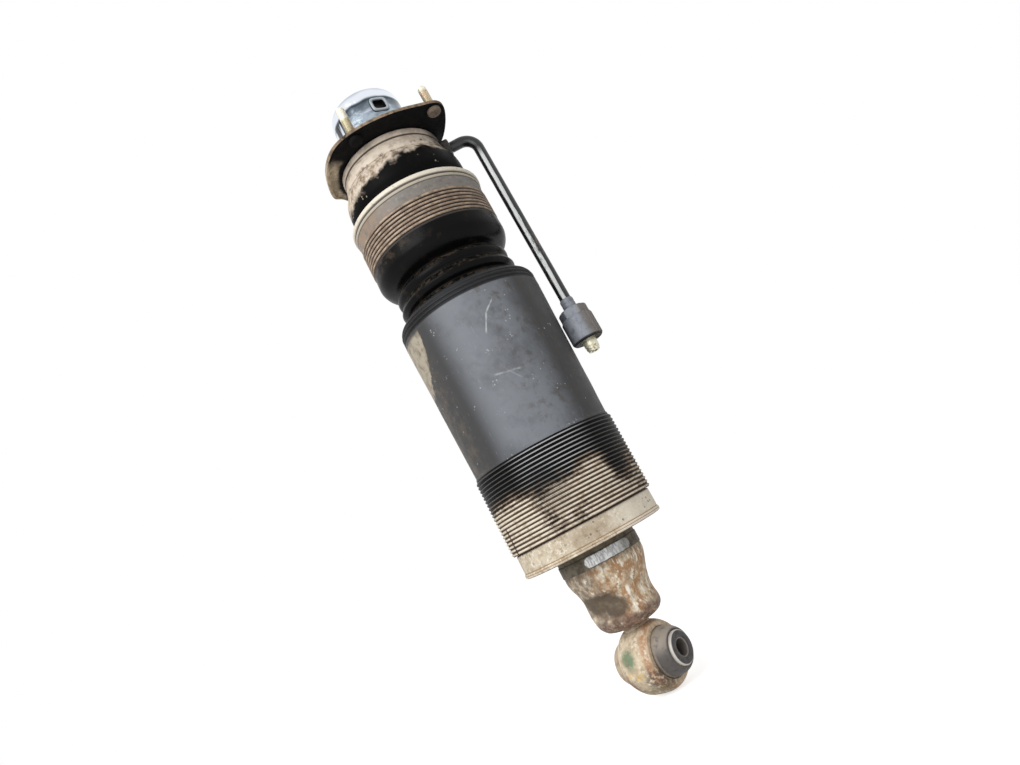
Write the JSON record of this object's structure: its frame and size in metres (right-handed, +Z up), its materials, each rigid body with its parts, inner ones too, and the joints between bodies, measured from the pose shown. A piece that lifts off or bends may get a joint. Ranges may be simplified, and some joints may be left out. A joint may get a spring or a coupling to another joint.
{
  "type": "rear suspension strut",
  "caption": "Hydraulic rear suspension strut with a studded top mount, dust cover, ribbed gaiter, side pipe and lower eye.",
  "frame": {"origin": "centre of the top face of the mounting plate, on the strut's axis", "axes": "+Z up along the strut's axis, +X along the bolt axis of the lower eye"},
  "size_m": [0.148, 0.1385, 0.5884],
  "materials": {
    "painted_steel": "black paint, dusty",
    "zinc_stud": "yellow zinc plate",
    "bright_cap": "polished",
    "socket_plastic": "moulded",
    "dusty_housing": "coated with road dust",
    "black_rubber": "moulded, worn",
    "grey_sleeve": "grey, dirty",
    "cover_plastic": "satin, scratched",
    "dusty_ring": "pale, dusty",
    "rusty_casting": "rusty, dusty",
    "bright_band": "bright, scratched",
    "pipe_steel": "black coat, worn through",
    "grey_nut": "grey phosphate",
    "nipple_zinc": "pale zinc plate",
    "ground_steel": "ground",
    "spring_paint": "dark powder coat",
    "seal_rubber": "moulded"
  },
  "bodies": {
    "mount": {"mount_plate": "painted_steel", "mount_stud_1": "zinc_stud", "mount_stud_2": "zinc_stud", "mount_stud_3": "zinc_stud", "top_cap": "bright_cap", "sensor_socket": "socket_plastic", "mount_housing": "dusty_housing", "isolator_rubber": "seal_rubber", "rod_bush": "ground_steel", "upper_boot": "black_rubber", "plunger_sleeve": "grey_sleeve", "plunger_cylinder": "ground_steel", "guide_sleeve": "ground_steel", "bellows": "black_rubber", "piston_rod": "ground_steel", "rod_washer": "ground_steel", "rod_nut": "zinc_stud", "bump_stop": "seal_rubber", "rebound_stop": "seal_rubber", "piston": "ground_steel", "piston_band": "socket_plastic", "piston_nut": "ground_steel", "hydraulic_port": "painted_steel", "pressure_pipe": "pipe_steel", "pipe_nipple": "nipple_zinc", "pipe_ferrule": "grey_nut"},
    "plunger_body": {"plunger": "ground_steel", "plunger_seal": "seal_rubber", "plunger_guide_band": "socket_plastic", "upper_spring_seat": "painted_steel", "upper_spring_pad": "seal_rubber", "dust_cover": "cover_plastic", "ribbed_gaiter": "black_rubber", "end_ring": "dusty_ring", "wiper_seal": "seal_rubber"},
    "damper_body": {"damper_tube": "ground_steel", "rod_guide": "ground_steel", "rod_seal": "seal_rubber", "coil_spring": "spring_paint", "lower_casting": "rusty_casting", "lower_spring_seat": "painted_steel", "lower_spring_pad": "seal_rubber", "band_clamp": "bright_band", "lower_eye": "rusty_casting", "bush_rubber": "seal_rubber"},
    "gas_piston": {"floating_piston": "ground_steel", "floating_piston_seal": "seal_rubber"},
    "bolt_sleeve": {"bush_sleeve": "ground_steel"},
    "pipe_union": {"union_nut": "grey_nut"}
  },
  "joints": [
    {"name": "damper_stroke", "type": "slide", "parent": "mount", "child": "damper_body", "axis": [0, 0, 1], "range_m": [0, 0.065], "stiffness_N_per_m": 30000, "springref_m": -0.01, "deforming": ["coil_spring"]},
    {"name": "plunger_travel", "type": "slide", "parent": "mount", "child": "plunger_body", "axis": [0, 0, -1], "range_m": [0, 0.035], "stiffness_N_per_m": 30000, "springref_m": -0.01, "deforming": ["bellows"]},
    {"name": "gas_piston_travel", "type": "slide", "parent": "damper_body", "child": "gas_piston", "axis": [0, 0, -1], "range_m": [0, 0.009]},
    {"name": "bolt_sleeve_twist", "type": "hinge", "parent": "damper_body", "child": "bolt_sleeve", "pos_m": [0, 0, -0.498], "axis": [1, 0, 0], "range_deg": [-15, 15], "stiffness_Nm_per_rad": 0.5},
    {"name": "union_spin", "type": "hinge", "parent": "mount", "child": "pipe_union", "pos_m": [0.06174, 0.05181, -0.23], "axis": [0, 0, 1], "continuous": true}
  ],
  "couplings": [
    {"joint": "gas_piston_travel", "follows": "damper_stroke", "ratio": 0.1357}
  ]
}
